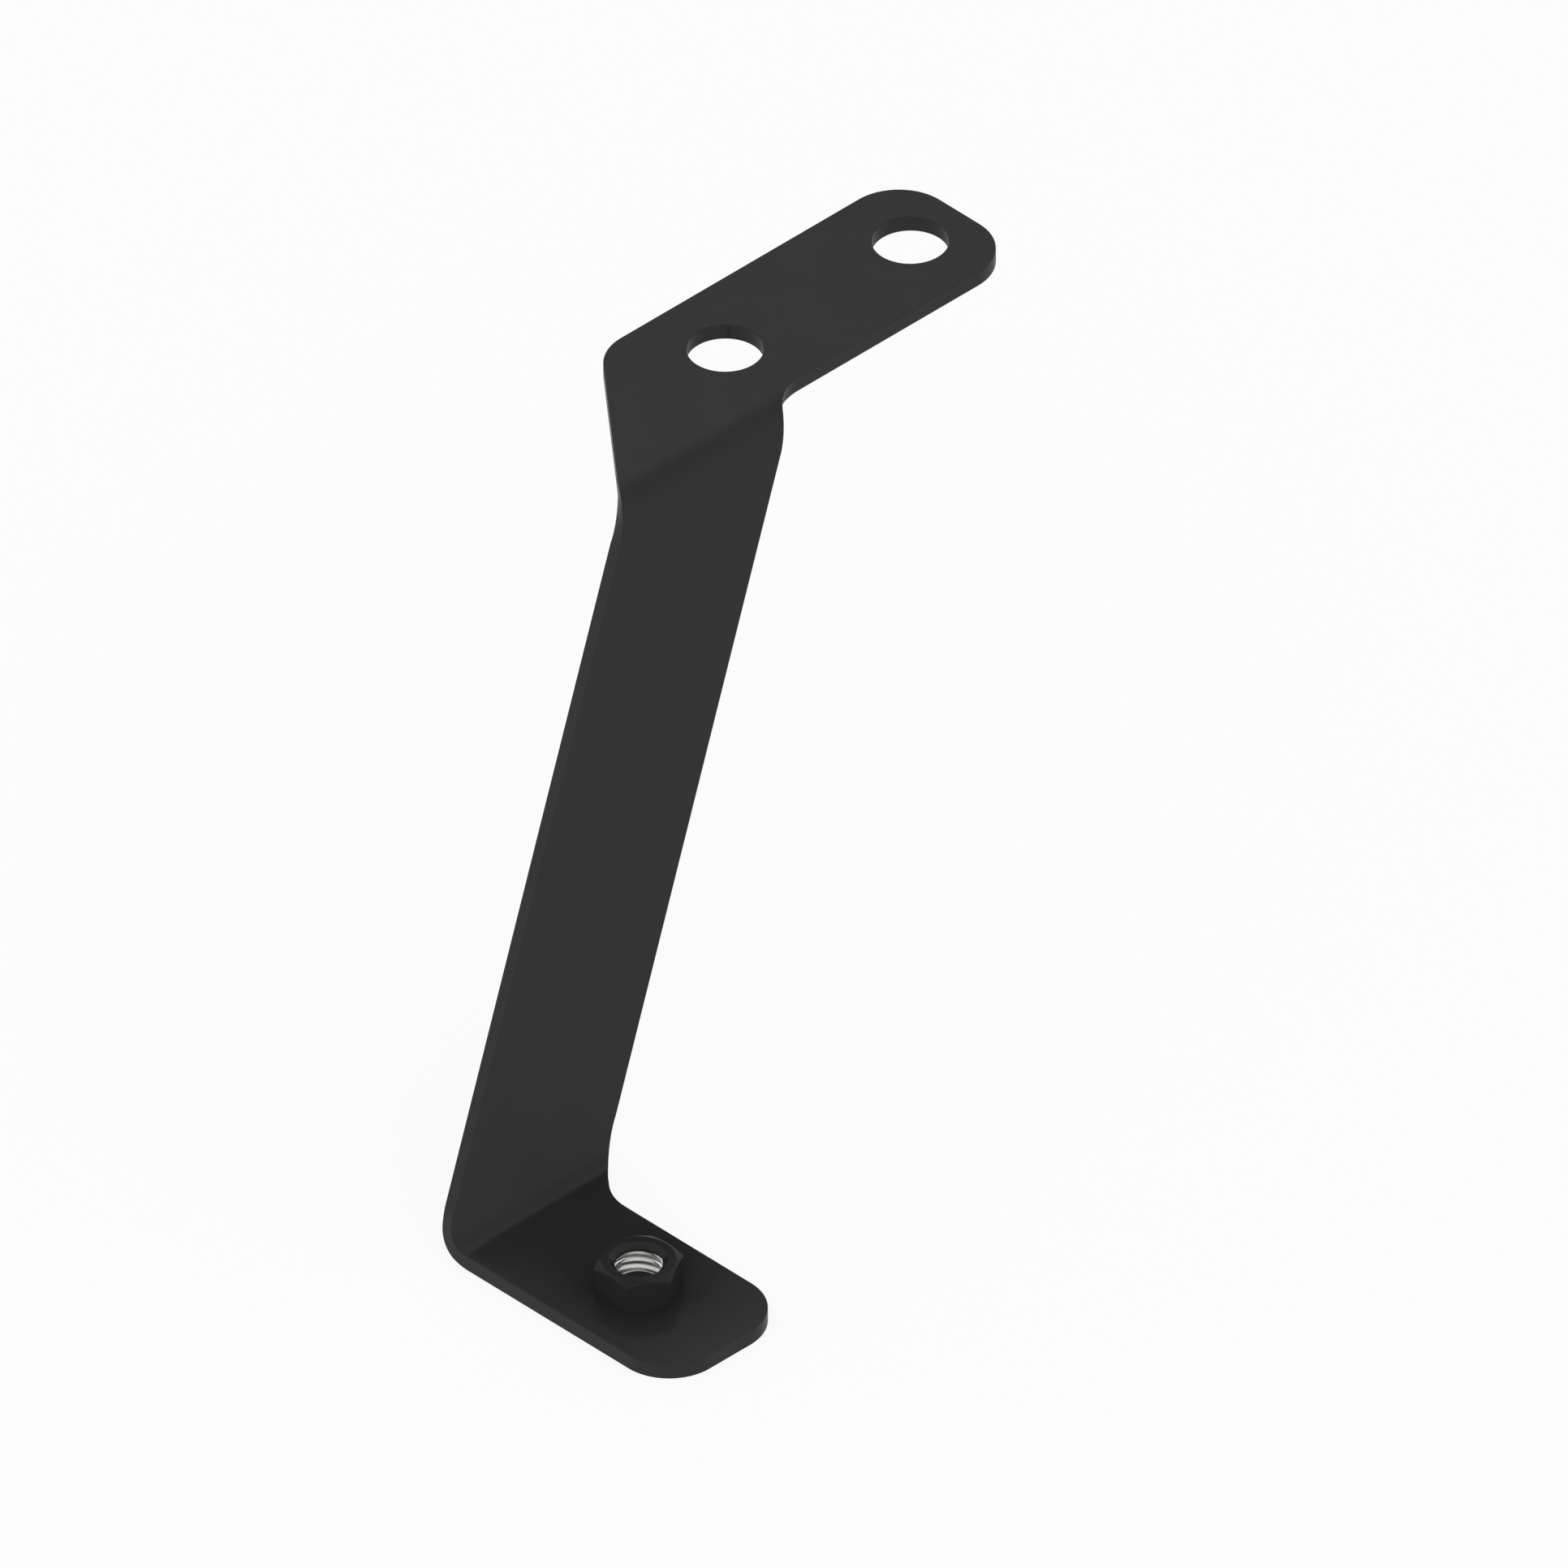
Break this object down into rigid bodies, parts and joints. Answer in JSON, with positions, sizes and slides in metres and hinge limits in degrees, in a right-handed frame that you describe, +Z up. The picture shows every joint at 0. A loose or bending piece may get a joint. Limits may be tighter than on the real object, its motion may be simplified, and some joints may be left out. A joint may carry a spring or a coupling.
{
  "type": "line bracket",
  "caption": "Folded strap arm with a skewed web, a flange with bolt holes and a foot that carries a hex weld nut.",
  "frame": {"origin": "midway between the two bolt holes, on the top face of the bolted flange", "axes": "+X from the flange towards the foot, +Y along the flange towards its free end, +Z up and out of the flange's top face"},
  "size_m": [0.1329, 0.1861, 0.0971],
  "materials": {
    "strap_coating": "satin black coating on steel",
    "nut_coating": "satin black coating on steel, with a bright bare thread"
  },
  "bodies": {
    "root": {"bracket_strap": "strap_coating", "weld_nut": "nut_coating"}
  },
  "joints": []
}
